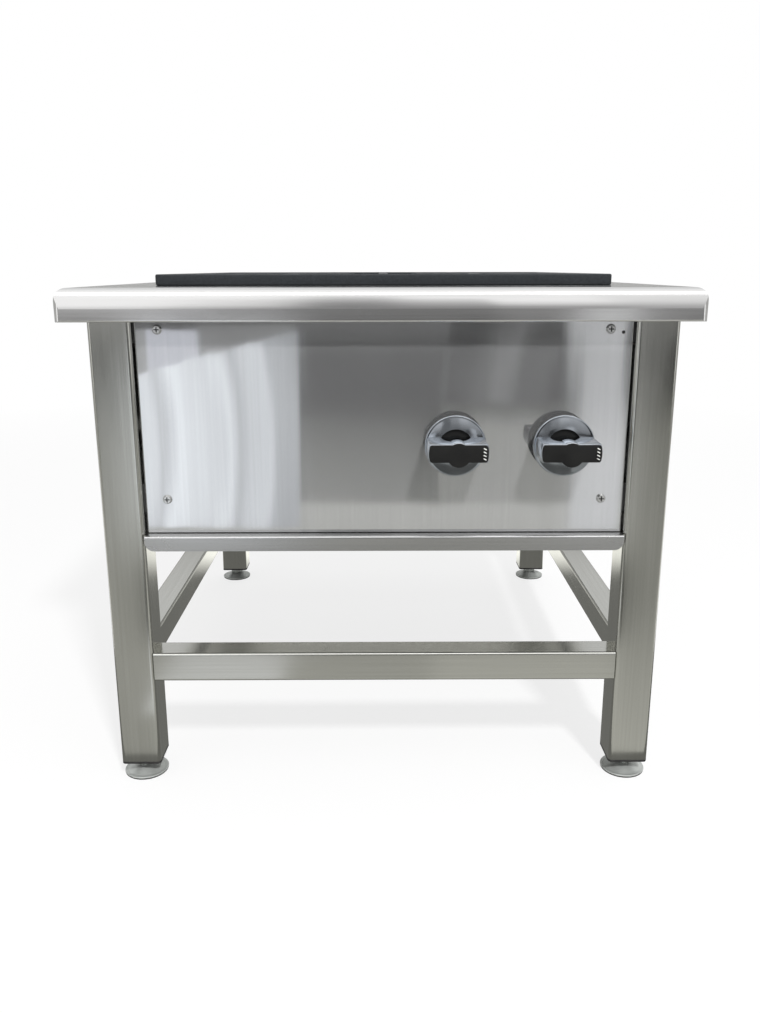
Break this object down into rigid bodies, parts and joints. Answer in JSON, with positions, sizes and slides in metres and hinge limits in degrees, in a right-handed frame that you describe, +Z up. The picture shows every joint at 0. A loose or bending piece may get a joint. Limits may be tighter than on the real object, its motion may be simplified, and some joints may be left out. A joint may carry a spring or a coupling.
{
  "type": "gas stock-pot stove",
  "caption": "Low floor-standing gas stock-pot stove: stainless tube frame, rolled-edge deck with cast-iron grate, double-ring burner, turning valve knobs, pull-out drip tray and levelling feet.",
  "frame": {"origin": "on the floor under the middle of the stove", "axes": "+Z up, the front with the knobs faces -Y, +X to the right seen from the front"},
  "size_m": [0.586, 0.7305, 0.511],
  "materials": {
    "satin_tube": "satin stainless square tube, grain along the tube",
    "deck_sheet": "polished stainless sheet",
    "panel_sheet": "semi-bright stainless sheet",
    "tray_sheet": "satin stainless sheet",
    "plug_black": "moulded black plastic",
    "zinc_steel": "bright zinc plate",
    "knob_chrome": "chrome plate",
    "knob_black": "black plastic",
    "grate_iron": "enamelled cast iron",
    "burner_iron": "rough cast iron",
    "brass": "machined brass",
    "copper": "bright drawn copper",
    "shutter_steel": "plated sheet steel",
    "pipe_steel": "dull grey steel"
  },
  "bodies": {
    "frame": {"bridge_screws": "zinc_steel", "burner_bar_front": "pipe_steel", "burner_bar_rear": "pipe_steel", "burner_posts": "pipe_steel", "casing_screws": "zinc_steel", "front_panel": "panel_sheet", "front_panel_screws": "zinc_steel", "gas_manifold": "pipe_steel", "gas_tube_inner": "copper", "gas_tube_outer": "copper", "injector_inner": "brass", "injector_outer": "brass", "inlet_fitting": "brass", "inner_burner": "burner_iron", "left_panel": "panel_sheet", "leg_end_plugs": "plug_black", "leg_front_left": "satin_tube", "leg_front_right": "satin_tube", "leg_rear_left": "satin_tube", "leg_rear_right": "satin_tube", "lower_rail_front": "satin_tube", "lower_rail_left": "satin_tube", "lower_rail_rear": "satin_tube", "lower_rail_right": "satin_tube", "manifold_elbow": "pipe_steel", "middle_rail_front": "satin_tube", "middle_rail_left": "satin_tube", "middle_rail_rear": "satin_tube", "middle_rail_right": "satin_tube", "outer_burner": "burner_iron", "pipe_clamps": "pipe_steel", "post_nuts": "zinc_steel", "rear_panel": "panel_sheet", "right_panel": "panel_sheet", "supply_pipe": "pipe_steel", "top_deck": "deck_sheet", "top_rail_front": "satin_tube", "top_rail_left": "satin_tube", "top_rail_rear": "satin_tube", "top_rail_right": "satin_tube", "tray_runner_left": "tray_sheet", "tray_runner_right": "tray_sheet", "union_nuts": "brass", "valve_body_left": "brass", "valve_body_right": "brass"},
    "tray": {"drip_tray": "tray_sheet"},
    "grate": {"pan_grate": "grate_iron"},
    "knob_left": {"knob_left": "knob_chrome", "knob_inlay_left": "knob_black", "valve_stem_left": "brass"},
    "knob_right": {"knob_right": "knob_chrome", "knob_inlay_right": "knob_black", "valve_stem_right": "brass"},
    "shutter_inner": {"air_shutter_inner": "shutter_steel"},
    "shutter_outer": {"air_shutter_outer": "shutter_steel"},
    "foot_front_left": {"foot_front_left": "zinc_steel"},
    "foot_front_right": {"foot_front_right": "zinc_steel"},
    "foot_rear_left": {"foot_rear_left": "zinc_steel"},
    "foot_rear_right": {"foot_rear_right": "zinc_steel"}
  },
  "joints": [
    {"name": "tray_slide", "type": "slide", "parent": "frame", "child": "tray", "axis": [0, -1, 0], "range_m": [0, 0.4]},
    {"name": "grate_lift", "type": "slide", "parent": "frame", "child": "grate", "axis": [0, 0, 1], "range_m": [0, 0.06]},
    {"name": "knob_left_turn", "type": "hinge", "parent": "frame", "child": "knob_left", "pos_m": [0.0667, -0.33, 0.355], "axis": [0, -1, 0], "range_deg": [0, 90]},
    {"name": "knob_right_turn", "type": "hinge", "parent": "frame", "child": "knob_right", "pos_m": [0.1685, -0.33, 0.355], "axis": [0, -1, 0], "range_deg": [0, 90]},
    {"name": "shutter_inner_turn", "type": "hinge", "parent": "frame", "child": "shutter_inner", "pos_m": [0, -0.1935, 0.391], "axis": [0, 1, 0], "range_deg": [0, 70]},
    {"name": "shutter_outer_turn", "type": "hinge", "parent": "frame", "child": "shutter_outer", "pos_m": [0.062, -0.1935, 0.427], "axis": [0, 1, 0], "range_deg": [0, 70]},
    {"name": "foot_front_left_screw", "type": "slide", "parent": "frame", "child": "foot_front_left", "axis": [0, 0, -1], "range_m": [-0.003, 0.02]},
    {"name": "foot_front_right_screw", "type": "slide", "parent": "frame", "child": "foot_front_right", "axis": [0, 0, -1], "range_m": [-0.003, 0.02]},
    {"name": "foot_rear_left_screw", "type": "slide", "parent": "frame", "child": "foot_rear_left", "axis": [0, 0, -1], "range_m": [-0.003, 0.02]},
    {"name": "foot_rear_right_screw", "type": "slide", "parent": "frame", "child": "foot_rear_right", "axis": [0, 0, -1], "range_m": [-0.003, 0.02]}
  ]
}
